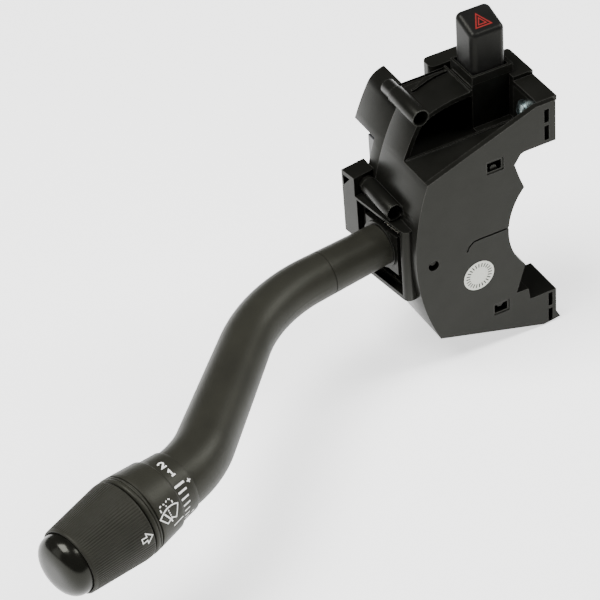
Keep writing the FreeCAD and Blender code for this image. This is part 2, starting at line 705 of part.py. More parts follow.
def lever_frame():
    """Raised frame round the lever's opening, seated on the curved flank."""
    frame = yawed_box(FRAME_T, (-12, 0), FRAME_Z)
    block = yawed_box(REAR_BLOCK_T, (-12, 0), REAR_BLOCK_Z)
    edge = [e for e in frame.Edges if is_front_edge(e)]
    frame = frame.makeFillet(FRAME_ROUND, edge)
    step = yawed_box(REAR_STEP_T, REAR_STEP_N, REAR_STEP_Z)
    whole = frame.fuse([block, step]).cut(corner_window())
    whole = whole.cut(yawed_box(FRAME_LIP_T, (-FRAME_RECESS, 1), FRAME_LIP_Z))
    opening = yawed_box(OPEN_T, (-14, 1), OPEN_Z)
    housing = Part.makeCylinder(FLANK_R, 60, Vector(FLANK_X, -5, FLANK_Z), Vector(0, 1, 0))
    tube = screw_tube(LOWER_TUBE, LOWER_TUBE_Y)
    whole = whole.cut(opening).cut(housing).cut(tube)
    return whole.cut(screw_way(LOWER_TUBE, LOWER_TUBE_Y))


def is_front_edge(edge):
    """True for the frame's upright outer edge nearest the driver."""
    a, b = edge.Vertexes[0].Point, edge.Vertexes[1].Point
    corner = boot_frame_point(FRAME_T[1], 0, a.z)
    return abs(a.z - b.z) > 1 and (a - corner).Length < 0.01


def corner_window():
    """Small three-cornered window at the top of the rear block."""
    points = [boot_frame_point(t, 1, z) for t, z in CORNER_WINDOW]
    face = Part.Face(Part.makePolygon(points + [points[0]]))
    return face.extrude(yaw_direction(YAW) * -(CORNER_WINDOW_DEPTH + 1))


def stalk_arm():
    """Tapered lever swept along its bent path, with a fine seam round it."""
    path = Part.Wire(LEVER_EDGES)
    start = boot_frame_point(0, -SHIELD_RECESS, 0)
    first = yaw_direction(YAW)
    outer = []
    for centre, axis, size in ((start, first, LEVER_START_D), (LEVER_END, knob_axis(), LEVER_END_D)):
        ring = Part.makeCircle(size / 2, centre, axis)
        outer.append(Part.Wire(ring))
    sweep = Part.BRepOffsetAPI.MakePipeShell(path)
    for ring in outer:
        sweep.add(ring)
    sweep.build()
    sweep.makeSolid()
    share = ARM_SEAM / path.Length
    r = (LEVER_START_D + (LEVER_END_D - LEVER_START_D) * share) / 2
    seam = [boot_frame_point(0, ARM_SEAM + w, 0) for w in (0, ARM_SEAM_WIDTH)]
    ring = rod(seam[0], seam[1], 2 * r + 4).cut(rod(seam[0], seam[1], 2 * (r - ARM_SEAM_DEPTH)))
    return sweep.shape().cut(ring)


def barrel():
    """Sleeve that carries the printed marks: front ring, groove, taper and neck."""
    a = -BARREL_FRONT
    r = KNOB_D1 / 2
    ring = a - BARREL_RING
    line = ring - BARREL_LINE
    band = line - BARREL_BAND
    taper = band - BARREL_GROOVE
    neck = taper - BARREL_TAPER
    back = neck - BARREL_NECK
    shaft = KNOB_SHAFT_D / 2
    return turned([
        (a, shaft),
        (a, r - 0.5),
        (a - 0.5, r),
        (ring, r),
        (ring, r - 0.5),
        (line, r - 0.5),
        (line, r - 0.1),
        (band, r - 0.1),
        (band, r - 0.9),
        (taper, r - 0.9),
        (taper, BARREL_D1 / 2),
        (neck, BARREL_D2 / 2),
        (neck - 0.4, NECK_D / 2 + 0.6),
        (back, NECK_D / 2 - 0.4),
        (back, shaft),
    ])


def wiper_knob():
    """Turning knob: tapered shell with a web that rides on the fixed shaft."""
    r1, r2 = KNOB_D1 / 2, KNOB_D2 / 2
    bore = KNOB_SHAFT_D / 2 + RUN_FIT
    well = CAP_D / 2 + SLIDE_FIT
    well_floor = KNOB_LENGTH - CAP_SKIRT - CAP_TRAVEL - CAP_WELL
    return turned([
        (0, bore),
        (0, r1 - 0.6),
        (0.6, r1),
        (KNOB_EDGE, r1),
        (KNOB_LENGTH - 0.8, r2 + 0.1),
        (KNOB_LENGTH, r2 - 0.6),
        (KNOB_LENGTH, well),
        (well_floor, well),
        (well_floor, bore),
    ])


def knob_shaft():
    """Fixed tube that carries the knob, from the barrel into the knob's web."""
    outer = KNOB_SHAFT_D / 2
    inner = outer - KNOB_SHAFT_WALL
    end = KNOB_LENGTH - CAP_SKIRT - CAP_TRAVEL - CAP_WELL - 0.5
    return turned([
        (-BARREL_BACK, inner),
        (-BARREL_BACK, outer),
        (end, outer),
        (end, inner),
    ])


def washer_button():
    """Domed push cap with a guide stem that slides in the shaft's bore."""
    base = KNOB_LENGTH - CAP_SKIRT
    r = CAP_D / 2
    points = [(base, 0), (base, r)]
    rim = KNOB_LENGTH + CAP_RIM
    for i in range(0, 9):
        a = math.radians(90 * i / 8)
        points.append((rim + (CAP_HEIGHT - CAP_RIM) * math.sin(a) ** 0.9, r * math.cos(a) ** 0.6))
    points[-1] = (KNOB_LENGTH + CAP_HEIGHT, 0)
    cap = turned(points)
    bore = KNOB_SHAFT_D / 2 - KNOB_SHAFT_WALL - RUN_FIT
    stem = turned([(STEM_START, 0), (STEM_START, bore), (base + 0.5, bore), (base + 0.5, 0)])
    return cap.fuse(stem).removeSplitter()


def hazard_button():
    """Square push button, slightly tapered, with a sloping top and rounded edges."""
    low = COLLAR_TOP - BUTTON_TRAVEL - BUTTON_PLUG
    half_x, half_y = BUTTON_W / 2, BUTTON_L / 2
    wires = []
    for z, rise in ((low, 0.0), (BUTTON_TOP, BUTTON_RISE)):
        corners = [(-half_x, -half_y, 0), (half_x, -half_y, 0), (half_x, half_y, rise),
                   (-half_x, half_y, rise)]
        points = [Vector(BUTTON_X + cx, BUTTON_Y + cy, z + cz) for cx, cy, cz in corners]
        wires.append(Part.makePolygon(points + [points[0]]))
    body = Part.makeLoft(wires, True, True)
    upright = [e for e in body.Edges if abs(e.tangentAt(e.FirstParameter).z) > 0.9]
    body = body.makeFillet(BUTTON_CORNER_R, upright)
    top = [e for e in body.Edges if all(v.Z > BUTTON_TOP - 0.3 for v in e.Vertexes)]
    body = body.makeFillet(BUTTON_EDGE_R, top)
    stem = rod((BUTTON_X, BUTTON_Y, HAZARD_FLOOR + BUTTON_TRAVEL + SEAT),
               (BUTTON_X, BUTTON_Y, low + 0.5), BUTTON_STEM_D)
    return body.fuse(stem)


def hazard_spring():
    """Return spring round the button's stem, from the box's floor to the button."""
    low = HAZARD_FLOOR
    top = COLLAR_TOP - BUTTON_TRAVEL - BUTTON_PLUG
    return coil_spring(Vector(BUTTON_X, BUTTON_Y, low), top - low, 3.2, 0.7, 5)


def coil_spring(base, height, radius, wire, turns):
    """Round-wire spring standing on its base, bent in short straight runs."""
    rise = height - wire
    count = turns * SPRING_RUNS
    points = []
    for i in range(count + 1):
        a = 2 * math.pi * i / SPRING_RUNS
        points.append(base + Vector(radius * math.cos(a), radius * math.sin(a),
                                    wire / 2 + rise * i / count))
    ring = Part.Wire(Part.makeCircle(wire / 2, points[0], points[1] - points[0]))
    sweep = Part.BRepOffsetAPI.MakePipeShell(Part.makePolygon(points))
    sweep.setTransitionMode(1)
    sweep.add(ring)
    sweep.build()
    sweep.makeSolid()
    return sweep.shape()


def turn_pin():
    """Pin from plate to cover that the carrier swings on."""
    return rod((TURN_X, PLATE, 0), (TURN_X, HOUSING_DEPTH, 0), TURN_PIN_D)


def beam_point():
    """Where the lever's own pivot stands in plan."""
    back = (BEAM_X - BOOT[0]) / math.cos(math.radians(YAW))
    return Vector(BEAM_X, BOOT[1] + back * math.sin(math.radians(YAW)), 0)


def carrier():
    """Hub on the turn pin, fork for the lever, leg for the detent and post for the contacts."""
    half = TONGUE_HEIGHT / 2 + SLIDE_FIT
    outer = half + YOKE_WALL
    mid_y = beam_point().y
    hub_y = (PLATE + 3.0 + SEAT, HOUSING_DEPTH - 3.0 - SEAT)
    hub = rod((TURN_X, hub_y[0], 0), (TURN_X, hub_y[1], 0), HUB_D)
    fork = box((BEAM_X - 5.5, TURN_X), (mid_y - 7, mid_y + 6), (-outer, outer))
    slot = box((BEAM_X - 6.5, TURN_X - HUB_D / 2 - 0.6), (mid_y - 8, mid_y + 7), (-half, half))
    leg = rod((TURN_X, DETENT_Y, -TURN_PIN_D / 2), (TURN_X, DETENT_Y, -DETENT_LEG),
              DETENT_D + 2 * DETENT_WALL)
    post = box((TURN_X - 3, TURN_X + 3), (DETENT_Y - 5, DETENT_Y + 5), (2, BOARD_Z - 1.5))
    whole = fuse([hub, fork, leg, post]).cut(slot)
    whole = whole.cut(rod((TURN_X, 0, 0), (TURN_X, 40, 0), TURN_PIN_D + 2 * RUN_FIT))
    whole = whole.cut(rod((TURN_X, DETENT_Y, -DETENT_SEAT), (TURN_X, DETENT_Y, -DETENT_LEG - 1),
                          DETENT_D + 2 * RUN_FIT))
    point = beam_point()
    return whole.cut(rod((point.x, point.y, -outer), (point.x, point.y, outer), BEAM_PIN_D))


def contact_bridge():
    """Brass strip on the carrier's post that wipes along the contact board."""
    low = BOARD_Z - 1.5
    x = (TURN_X - 2.4, TURN_X + 2.4)
    strip = box(x, (DETENT_Y - 4.5, DETENT_Y + 4.5), (low, low + 0.5))
    fingers = [box((TURN_X - 1, TURN_X + 1), (y - 1, y + 1), (low + 0.5, BOARD_Z - SEAT))
               for y in (DETENT_Y - 3, DETENT_Y + 3)]
    return fuse([strip] + fingers)


def contact_board():
    """Fixed board over the carrier, pushed up to the rear cover."""
    left = flank_x(BOARD_Z + BOARD_THICK, WALL)
    right = -(COLUMN_R + WALL) + 1.5
    return box((left, right), (PLATE + 3, HOUSING_DEPTH), (BOARD_Z, BOARD_Z + BOARD_THICK))


def beam_pin():
    """Pin through the carrier's fork for the lever's pull towards the driver."""
    point = beam_point()
    outer = TONGUE_HEIGHT / 2 + SLIDE_FIT + YOKE_WALL
    return rod((point.x, point.y, -outer), (point.x, point.y, outer), BEAM_PIN_D)


def detent_plunger():
    """Round-nosed pin that clicks into the track."""
    r = DETENT_D / 2
    low = -(PLUNGER_TIP - r)
    body = rod((TURN_X, DETENT_Y, -DETENT_SEAT - DETENT_SPRING), (TURN_X, DETENT_Y, low), DETENT_D)
    nose = Part.makeSphere(r, Vector(TURN_X, DETENT_Y, low))
    return body.fuse(nose).removeSplitter()


def detent_spring():
    """Spring that pushes the plunger out of the carrier's leg."""
    base = Vector(TURN_X, DETENT_Y, -DETENT_SEAT - DETENT_SPRING)
    return coil_spring(base, DETENT_SPRING, 1.7, 0.5, 4)


def detent_track():
    """Curved track on the housing's floor with a notch for each lever position."""
    radius = PLUNGER_TIP + SEAT
    block = box((TURN_X - TRACK_HALF, TURN_X + TRACK_HALF),
                (DETENT_Y - TRACK_HALF_Y, DETENT_Y + TRACK_HALF_Y), (LOWER_RIGHT[1], -TRACK_TOP))
    block = block.common(prism(cavity_outline(), PLATE, HOUSING_DEPTH))
    block = block.cut(rod((TURN_X, 0, 0), (TURN_X, HOUSING_DEPTH, 0), 2 * radius))
    for swing in (-TURN_SWING, 0, TURN_SWING):
        a = math.radians(swing)
        x = TURN_X - radius * math.sin(a) * NOTCH_IN
        z = -radius * math.cos(a) * NOTCH_IN
        block = block.cut(rod((x, 0, z), (x, HOUSING_DEPTH, z), NOTCH_D))
    return block


def cancel_pawl():
    """Self-cancelling pawl: hub on its pin, nose through the slot towards the column."""
    hub = rod((PAWL_X, PAWL_Y[0], 0), (PAWL_X, PAWL_Y[1], 0), PAWL_HUB_D)
    tip = PAWL_X + PAWL_REACH
    nose = prism([
        (PAWL_X, 2.2),
        (tip - 1.0, 1.2),
        (tip, 0.5),
        (tip, -0.5),
        (tip - 1.0, -1.2),
        (PAWL_X, -2.2),
    ], PAWL_Y[0], PAWL_Y[1] - 1)
    whole = fuse([hub, nose])
    return whole.cut(rod((PAWL_X, 0, 0), (PAWL_X, 40, 0), PAWL_PIN_D + 2 * RUN_FIT))


def pawl_pin():
    return rod((PAWL_X, PLATE, 0), (PAWL_X, PAWL_Y[1] + 1, 0), PAWL_PIN_D)


def pawl_slot():
    """Slot in the column wall for the pawl's nose, clear of its hub too."""
    slot = box((PAWL_X + 2, 0), (PAWL_Y[0] - PAWL_CLEAR, PAWL_Y[1] - 1 + PAWL_CLEAR),
               (-PAWL_SLOT, PAWL_SLOT))
    hub = rod((PAWL_X, PAWL_Y[0] - SEAT, 0), (PAWL_X, PAWL_Y[1] + SEAT, 0),
              PAWL_HUB_D + 2 * SLIDE_FIT)
    return slot.fuse(hub)


def guide_peg():
    """Round peg behind the access hole in the plate."""
    x, z = ACCESS_HOLE
    return rod((x + 0.4, PLATE - 1.0, z + 0.4), (x + 0.4, PLATE + ACCESS_FLOOR, z + 0.4), 2.2)


def boot_shield():
    """Plate and ring round the lever's root that close the frame's opening."""
    n = -SHIELD_RECESS
    plate = yawed_box(SHIELD_T, (n - SHIELD_THICK, n), SHIELD_Z)
    inner = boot_frame_point(0, n - SHIELD_THICK / 2, 0)
    outer = boot_frame_point(0, n + SHIELD_LIFT, 0)
    ring = rod(inner, outer, LEVER_START_D + 2 * SHIELD_RING)
    return fuse([plate, ring]).cut(stalk_arm())


def stalk_root():
    """Moulded tongue that carries the lever on the beam pin."""
    n0 = -SHIELD_RECESS - SHIELD_THICK
    point = beam_point()
    reach = -(point - boot_frame_point(0, 0, 0)).dot(yaw_direction(YAW))
    half = TONGUE_WIDTH / 2
    tongue = yawed_box((-half, half), (-reach, n0), (-TONGUE_HEIGHT / 2, TONGUE_HEIGHT / 2))
    eye = rod((point.x, point.y, -TONGUE_HEIGHT / 2), (point.x, point.y, TONGUE_HEIGHT / 2), TONGUE_WIDTH)
    whole = fuse([tongue, eye])
    bore = BEAM_PIN_D + 2 * RUN_FIT
    return whole.cut(rod((point.x, point.y, -20), (point.x, point.y, 20), bore))


def retaining_screw():
    """Pan-head screw in the right block, driven from the left."""
    y, z = SCREW_YZ
    face = BLOCK_LEFT - SCREW_WASHER
    apex = face - SCREW_HEAD
    shank = rod((face, y, z), (face + SCREW_LENGTH, y, z), SCREW_D)
    dome = Part.makeSphere(SCREW_DOME, Vector(apex + SCREW_DOME, y, z))
    head = rod((apex, y, z), (face, y, z), 2 * SCREW_D).common(dome)
    length, width, depth = SCREW_CROSS
    recess = (apex - 1, apex + depth)
    slot = box(recess, (y - length / 2, y + length / 2), (z - width / 2, z + width / 2))
    cross = box(recess, (y - width / 2, y + width / 2), (z - length / 2, z + length / 2))
    return fuse([head, shank]).cut(slot.fuse(cross).removeSplitter())


def screw_washer():
    y, z = SCREW_YZ
    disc = rod((BLOCK_LEFT - SCREW_WASHER, y, z), (BLOCK_LEFT, y, z), WASHER_D)
    return disc.cut(rod((BLOCK_LEFT - SCREW_WASHER, y, z), (BLOCK_LEFT, y, z), SCREW_D))


def connector(x, y0, z):
    """Open socket on the rear cover for a cable plug."""
    y1 = y0 + SOCKET_DEPTH
    shell = box(x, (y0, y1), z)
    hollow = box((x[0] + SOCKET_WALL, x[1] - SOCKET_WALL), (y0 + SOCKET_WALL, y1 + 1),
                 (z[0] + SOCKET_WALL, z[1] - SOCKET_WALL))
    return shell.cut(hollow)


def terminals(x, y0, z, cells):
    """Two rows of flat pins standing on the socket's floor."""
    pins = []
    step = (x[1] - x[0] - 2 * SOCKET_WALL) / cells
    mid = (z[0] + z[1]) / 2
    for row in (-1, 1):
        for i in range(cells):
            px = x[0] + SOCKET_WALL + step * (i + 0.5)
            pz = mid + row * TERMINAL_ROW
            pins.append(box((px - TERMINAL_WIDTH / 2, px + TERMINAL_WIDTH / 2),
                            (y0 + SOCKET_WALL, y0 + SOCKET_DEPTH - TERMINAL_SHORT),
                            (pz - TERMINAL_THICK / 2, pz + TERMINAL_THICK / 2)))
    return Part.makeCompound(pins)


def turn_connector():
    return connector(*TURN_SOCKET[:3])


def turn_terminals():
    return terminals(*TURN_SOCKET)


def wiper_connector():
    return connector(*WIPER_SOCKET[:3])


def wiper_terminals():
    return terminals(*WIPER_SOCKET)


NODES = {
    "front_housing": front_housing,
    "rear_cover": rear_cover,
    "upper_housing": upper_housing,
    "lever_frame": lever_frame,
    "guide_peg": guide_peg,
    "turn_pin": turn_pin,
    "pawl_pin": pawl_pin,
    "contact_board": contact_board,
    "detent_track": detent_track,
    "retaining_screw": retaining_screw,
    "screw_washer": screw_washer,
    "turn_connector": turn_connector,
    "turn_terminals": turn_terminals,
    "wiper_connector": wiper_connector,
    "wiper_terminals": wiper_terminals,
    "hazard_spring": hazard_spring,
    "carrier": carrier,
    "beam_pin": beam_pin,
    "contact_bridge": contact_bridge,
    "detent_spring": detent_spring,
    "detent_plunger": detent_plunger,
    "cancel_pawl": cancel_pawl,
    "boot_shield": boot_shield,
    "stalk_root": stalk_root,
    "stalk_arm": stalk_arm,
    "mark_barrel": barrel,
    "knob_shaft": knob_shaft,
    "wiper_knob": wiper_knob,
    "washer_button": washer_button,
    "hazard_button": hazard_button,
}

os.makedirs("parts", exist_ok=True)
for name, make in NODES.items():
    solid = make()
    solid.exportStep("parts/" + name + ".step")
    print(name, len(solid.Solids), round(solid.Volume, 1), solid.isValid())
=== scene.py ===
import json
import math

import bmesh
import bpy
from mathutils import Matrix, Vector


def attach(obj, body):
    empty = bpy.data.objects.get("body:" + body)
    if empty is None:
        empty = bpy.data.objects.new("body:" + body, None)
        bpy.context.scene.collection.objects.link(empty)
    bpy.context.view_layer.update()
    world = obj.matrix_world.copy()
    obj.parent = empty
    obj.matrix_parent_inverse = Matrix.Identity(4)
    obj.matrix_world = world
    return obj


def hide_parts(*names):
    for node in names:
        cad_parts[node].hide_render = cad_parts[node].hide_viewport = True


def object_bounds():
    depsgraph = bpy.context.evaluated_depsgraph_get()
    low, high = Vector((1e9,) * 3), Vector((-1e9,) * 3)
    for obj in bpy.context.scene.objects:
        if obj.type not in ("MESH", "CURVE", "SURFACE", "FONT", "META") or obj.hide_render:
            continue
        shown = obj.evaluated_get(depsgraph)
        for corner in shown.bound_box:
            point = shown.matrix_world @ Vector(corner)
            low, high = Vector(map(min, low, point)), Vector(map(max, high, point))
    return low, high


# Combination stalk switch. Blender works in metres; sizes below are in millimetres unless said.
MM = 0.001

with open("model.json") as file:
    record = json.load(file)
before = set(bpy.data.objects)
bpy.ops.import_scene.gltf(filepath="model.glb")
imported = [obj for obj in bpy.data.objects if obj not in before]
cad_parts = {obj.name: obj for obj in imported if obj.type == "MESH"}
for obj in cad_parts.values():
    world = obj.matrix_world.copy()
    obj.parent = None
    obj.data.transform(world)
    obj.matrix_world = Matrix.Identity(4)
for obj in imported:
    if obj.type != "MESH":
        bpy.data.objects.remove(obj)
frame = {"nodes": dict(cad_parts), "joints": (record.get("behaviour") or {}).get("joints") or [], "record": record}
cad_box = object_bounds()
NODES = frame["nodes"]
JOINTS = {j["name"]: j for j in frame["joints"]}

# Light, in metres and watts: a glowing white floor under soft boxes, and a dim room
FLOOR_GLOW = 1.35
FLOOR_HALF = 6.0
FLOOR_BELOW = 0.0005
FLOOR_DARK = (0.90, 0.90, 0.895)
FLOOR_LIGHT = (0.93, 0.93, 0.925)
FLOOR_PATCH = 1000.0 / 6.0  # in millimetres
ROOM_GREY = 0.10
SOFT_BOXES = (
    ("key", (-0.62, 0.10, 1.3), (0.8, 0.8), 40.0),
    ("side", (0.45, -0.35, 1.1), (0.25, 0.25), 4.0),
    ("left", (-1.3, 0.1, 0.5), (0.5, 0.9), 2.6),
    ("right", (1.1, -0.25, 0.9), (0.5, 0.5), 18.0),
)
LIGHT_TARGET = (-0.10, -0.02, 0.0)

# Camera at the photograph's viewpoint, in metres
EYE = (-0.39615, -0.61309, 0.57483)
CAMERA_RIGHT = (0.88069, -0.46853, -0.06975)
CAMERA_UP = (0.35017, 0.54479, 0.76196)
CAMERA_BACK = (-0.31900, -0.69548, 0.64386)
CAMERA_LENS = 147.8
CAMERA_SENSOR = 36.0
CAMERA_CLIP = (0.05, 30.0)

# Plastics: the colour drifts from dark to light in patches of blotch millimetres, the surface has a
# grain of its own size and depth, and edge is the colour of the painted highlight along outward edges
PLASTICS = {
    "housing_black": dict(dark=(0.0046, 0.0046, 0.0038), light=(0.0068, 0.0068, 0.0058), rough=0.30,
                          grain=0.22, depth=0.010, edge=(0.055, 0.055, 0.050), specular=0.127),
    "lever_black": dict(dark=(0.0150, 0.0148, 0.0115), light=(0.0190, 0.0188, 0.0146), rough=0.42,
                        grain=0.32, depth=0.030, blotch=14.0, specular=0.14),
    "knob_black": dict(dark=(0.0145, 0.0143, 0.0114), light=(0.0190, 0.0187, 0.0150), rough=0.48,
                       grain=0.30, depth=0.020, edge=(0.035, 0.035, 0.032), specular=0.11),
    "cap_gloss": dict(dark=(0.0040, 0.0040, 0.0032), light=(0.0060, 0.0060, 0.0048), rough=0.20,
                      grain=0.5, depth=0.003, specular=0.20),
    "button_black": dict(dark=(0.0055, 0.0055, 0.0052), light=(0.0080, 0.0080, 0.0076), rough=0.34,
                         grain=0.20, depth=0.010, edge=(0.030, 0.030, 0.028), specular=0.09),
    "nylon": dict(dark=(0.52, 0.50, 0.43), light=(0.62, 0.60, 0.53), rough=0.45,
                  grain=0.5, depth=0.010),
    "connector_grey": dict(dark=(0.060, 0.060, 0.064), light=(0.080, 0.080, 0.086), rough=0.42,
                           grain=0.25, depth=0.012, edge=(0.12, 0.12, 0.12)),
    "board": dict(dark=(0.20, 0.13, 0.06), light=(0.27, 0.18, 0.09), rough=0.5,
                  grain=0.2, depth=0.01),
}
METALS = {
    "steel": dict(dark=(0.46, 0.46, 0.47), light=(0.60, 0.60, 0.61), rough=0.28, grain=0.15),
    "spring_steel": dict(dark=(0.34, 0.34, 0.36), light=(0.46, 0.46, 0.48), rough=0.30, grain=0.12),
    "zinc": dict(dark=(0.22, 0.27, 0.27), light=(0.32, 0.38, 0.38), rough=0.32, grain=0.6, depth=0.001),
    "brass": dict(dark=(0.62, 0.44, 0.18), light=(0.76, 0.58, 0.28), rough=0.28, grain=0.15),
}
INKS = {
    "mark_white": dict(colour=(0.80, 0.80, 0.77), worn=(0.62, 0.62, 0.59)),
    "hazard_red": dict(colour=(0.19, 0.011, 0.009), worn=(0.145, 0.009, 0.007)),
    "sticker_white": dict(colour=(0.58, 0.59, 0.53), worn=(0.52, 0.53, 0.47)),
}

# Surface detail that all plastics, metals or inks share
GLOSS_TINT = (0.99, 1.0, 0.87)
EDGE_HIGHLIGHT_REACH = 0.35            # how far the painted edge highlight reaches
HIGHLIGHT_BENDS = (0.80, 0.97)   # agreement of the normals where the painted edge highlight is full, and where it ends
HIGHLIGHT_CONVEX = (0.50, 0.55)  # pointiness where the painted edge highlight begins, and where it is full
GLOSS_PATCH = 2.3           # patches of uneven gloss, as a multiple of the colour's patches
PLASTIC_GLOSS = (-0.06, 0.08)   # change of roughness from shiny to dull patches
CELL_SIZE = 1.6             # size of the coarse grain, as a multiple of the fine grain's
FINE_DEPTH = 0.7            # depth of the fine grain, as a share of the coarse grain's
METAL_PATCH = 1.7
METAL_GLOSS = (-0.08, 0.12)
INK_PATCH = 0.35
INK_COVER = (0.35, 0.50)    # noise where the ink is most worn, and where it covers
INK_ROUGH = (0.5, 0.7)
INK_RELIEF = 0.01
INK_GLOSS = 0.15

# Width of the rounded edges of the moulded CAD nodes
ROUNDED = {
    "front_housing": 0.35,
    "rear_cover": 0.35,
    "upper_housing": 0.45,
    "lever_frame": 0.3,
    "boot_shield": 0.3,
    "turn_connector": 0.3,
    "wiper_connector": 0.3,
    "mark_barrel": 0.2,
}
ROUND_STEPS = 2             # faces across a rounded edge
ROUND_ANGLE = 35            # degrees from which an edge is rounded
WELD = 0.002                # points closer than this are joined first

# Sleeve behind the knob: (along, radius), along is towards the tip from the knob's large end
SLEEVE = ((-23.2, 11.6), (-14.9, 12.6), (-14.5, 13.4), (-3.7, 14.8), (-1.0, 15.0))
KNOB_PROFILE = ((0.6, 15.0), (2.4, 15.0), (24.2, 12.5))
MARK_RADIUS = 13.5          # angles round the axis are turned into lengths on this radius
MARK_LEVELS = (-0.02, 0.05)     # bottom and top of a printed mark, from the surface
MARK_STEP = 0.5             # longest run of a printed mark before it is divided
MITRE = 0.4                 # limits how far a mark's sharp corner sticks out

# Numerals as lines in a square of side 1, and their places: (kind, along, angle, height)
NUMERALS = {
    "1": (((0.1, 0.72), (0.5, 1.0), (0.5, 0.0)), ((0.15, 0.0), (0.85, 0.0))),
    "2": (((0.08, 0.74), (0.16, 0.92), (0.38, 1.0), (0.64, 1.0), (0.86, 0.9), (0.92, 0.72),
           (0.84, 0.54), (0.08, 0.0), (0.95, 0.0)),),
}
SPEED_NUMERALS = (("2", -17.9, 85.5, 2.7), ("1", -18.2, 66.0, 2.6))
NUMERAL_WIDTH = 2.3
NUMERAL_LINE = 0.62

# Bars on the sleeve: (angle, along from, along to, width)
BARS = (
    (43.2, -19.9, -15.4, 0.85),
    (32.2, -19.5, -15.5, 0.75),
    (20.5, -19.1, -15.6, 0.70),
    (9.5, -18.9, -15.6, 0.60),
    (-0.6, -18.3, -15.7, 0.45),
    (-10.1, -18.0, -15.7, 0.33),
    (-18.8, -17.8, -15.7, 0.27),
)

# Signs on the sleeve and the knob: each line is a row of (along, angle) points
SIGN_LINE = 0.42
MORE_SIGN = (((-22.5, 39.5), (-20.9, 39.5)), ((-21.7, 36.1), (-21.7, 42.9)))
LESS_SIGN = ((-20.5, -17.5), (-19.1, -17.5))
LESS_LINE = 0.38
INDEX_LINE = ((-13.8, -1.7), (-9.0, -2.9))
SIGN_WINDOW = ((-3.95, 22.0), (-6.4, 26.5), (-8.25, 28.4), (-10.3, 28.3), (-11.8, 26.9), (-13.15, 24.5),
               (-10.8, 8.2), (-9.3, 11.8), (-8.3, 11.8), (-6.55, 9.2))
SIGN_BLADE = ((-6.35, 24.4), (-8.27, 11.4), (-8.75, 6.6))
BLADE_LINE = SIGN_LINE * 1.3
SIGN_SPRAY = ((-8.85, 12.8), (-8.48, 25.5), (-8.44, 32.9))
SIGN_DROPS = (
    ((-5.65, 28.8), (-5.53, 32.9)),
    ((-5.82, 35.9), (-6.61, 36.5)),
    ((-7.50, 36.7), (-8.06, 35.3)),
    ((-8.94, 36.4), (-9.47, 37.6)),
    ((-10.25, 38.2), (-10.98, 36.2)),
    ((-11.32, 33.5), (-11.41, 29.8)),
)
ARROW = ((0.9, 12.4), (3.25, 20.0), (3.25, 14.8), (5.15, 15.5), (5.15, 8.8), (3.25, 9.8), (3.2, 5.2))
ARROW_LINE = 0.34

# Sticker on the front plate, whose face is at y 0
STICKER_AT = (-40.8, -14.8)
STICKER_R = 6.5
STICKER_THICK = 0.10
STICKER_SLOPE = 0.03        # its face is this much smaller than its foot
STICKER_SIDES = 64
STICKER_TICKS = 24
TICK_REACH = (3.9, 5.6)
TICK_HALF = 0.22
TICK_LEVELS = (-0.09, -0.125)   # bottom and top, from the plate

# Back of the rear cover
COVER_BACK = 38.0
RIB_WIDTH = 0.8
RIB_LEVELS = (-0.1, 0.8)    # bottom and top, from the cover's back
RIBS_X = (-58.0, -51.0, -44.0, -37.0)
RIBS_Z = (-8.5, 0.0, 11.0)

# Cover screws: places, then (radius, rise) of the head's rings, then the cross recess
COVER_SCREWS = ((-27.0, 30.5), (-62.0, 7.5), (-27.5, -37.5))
SCREW_RINGS = ((2.6, -0.3), (2.6, 0.9), (2.3, 1.4), (1.85, 1.65))
SCREW_SIDES = 24
RECESS_HALF = 0.36
RECESS_REACH = 1.5
RECESS_FLOOR = 0.6

# Hazard triangle on the button's top, which rises from front to back
BUTTON_AT = (-21.3, 26.8)
BUTTON_FRONT = 22.1
BUTTON_LENGTH = 13.2
BUTTON_HEIGHT = 74.7        # of the top at its front edge
BUTTON_RISE = 4.6
TRIANGLES = ((3.7, 0.45), (1.8, 0.42))  # from centre to corner, width of line
TRIANGLE_LEVELS = (-0.05, 0.06)         # bottom and top, from the button's top

# Knob from the rim by the sleeve to the cap: (along, radius, share of the rib depth)
RIBS = 88
RIB_DEPTH = 0.16
RIB_SHAPE = (0.0, 0.12, 0.6, 1.0, 0.6, 0.12)    # depth of the groove across one rib
PAD = (5.4, 23.0)           # smooth pad under the arrow: along, degrees
KNOB_OUTSIDE = ((0.0, 14.4, 0), (0.25, 14.85, 0), (0.5, 15.0, 0), (0.9, 15.0, 1), (2.4, 15.0, 1),
                (PAD[0], 14.66, 1), (PAD[0] + 0.4, 14.61, 1), (23.2, 12.61, 1), (23.7, 12.56, 1),
                (24.1, 12.5, 0), (24.7, 12.42, 0), (24.95, 12.2, 0), (25.0, 11.95, 0), (25.0, 11.7, 0))
KNOB_INSIDE = ((16.0, 11.7, 0), (16.0, 4.6, 0), (0.0, 4.6, 0))
KNOB_SMOOTH = 50            # degrees under which edges are shaded smooth

# Push cap: rim, dome and guide stem
CAP_R = 11.4
CAP_RIM_AT = 25.8           # where the dome begins
CAP_DOME = 6.2
CAP_STEPS = 16              # points along the dome
CAP_CURVE = (0.9, 0.6)      # powers that round the dome along the axis and across it
CAP_BACK = 22.0             # where the rim begins
CAP_STEM = (8.0, 2.95)      # where the stem ends along the axis, and its radius
CAP_COUNT = 96              # points round the axis
CAP_SMOOTH = 40
CAP_WELD = 0.001


# Shared helpers

def knob_axes():
    """Centre of the knob's large end, its axis towards the tip, and two directions across it."""
    joint = JOINTS["wiper_select"]
    along = Vector(joint["axis"]).normalized()
    side = Vector((-along.y, along.x, 0.0))
    up = along.cross(side)
    return Vector(joint["pos_m"]), along, side, up


KNOB_AT, KNOB_ALONG, KNOB_SIDE, KNOB_UP = knob_axes()


